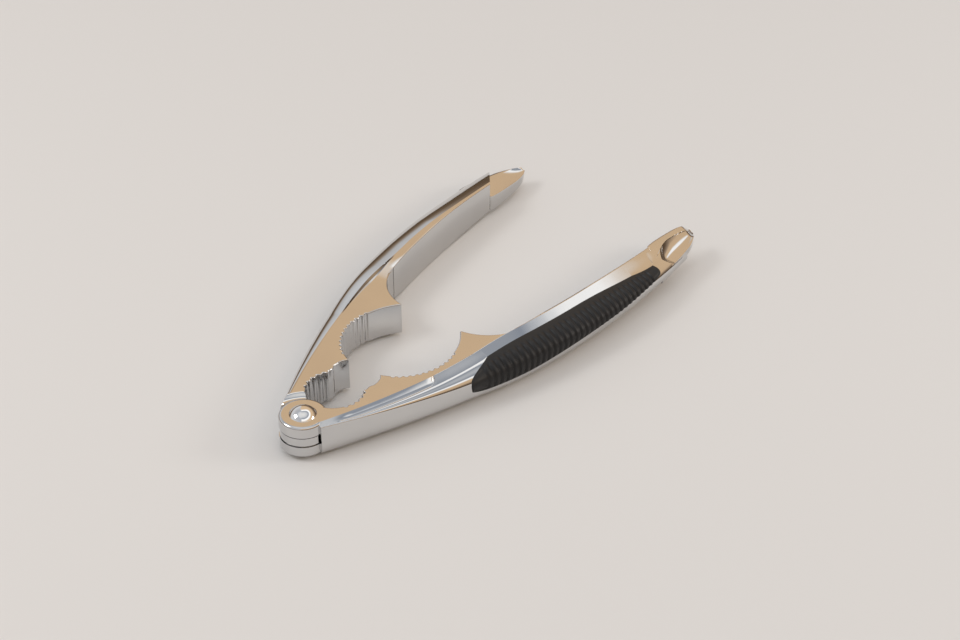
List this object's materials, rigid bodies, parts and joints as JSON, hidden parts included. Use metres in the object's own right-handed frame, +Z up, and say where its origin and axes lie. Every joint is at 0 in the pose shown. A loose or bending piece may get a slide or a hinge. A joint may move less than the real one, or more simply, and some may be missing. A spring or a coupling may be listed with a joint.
{
  "type": "nutcracker",
  "caption": "Lever nutcracker: two forged arms on one riveted hinge, with a small and a large toothed jaw, ribbed rubber grips and narrow tongue tips.",
  "frame": {"origin": "on the hinge axis, at the flat lower rivet head that lies on the table", "axes": "+X from the hinge along the middle line between the arms to the tips, +Y towards the left arm, +Z up along the hinge axis"},
  "size_m": [0.1778, 0.0904, 0.0155],
  "materials": {
    "arm_chrome": "polished chrome plate",
    "rivet_chrome": "polished chrome plate",
    "washer_steel": "plain steel",
    "grip_rubber": "matt moulded rubber"
  },
  "bodies": {
    "right_side": {"right_arm": "arm_chrome", "pivot_rivet": "rivet_chrome", "upper_washer": "washer_steel", "lower_washer": "washer_steel", "right_grip": "grip_rubber"},
    "left_side": {"left_arm": "arm_chrome", "left_grip": "grip_rubber"}
  },
  "joints": [
    {"name": "hinge", "type": "hinge", "parent": "right_side", "child": "left_side", "pos_m": [0, 0, 0.0075], "axis": [0, 0, 1], "range_deg": [-21.9, 110]}
  ]
}
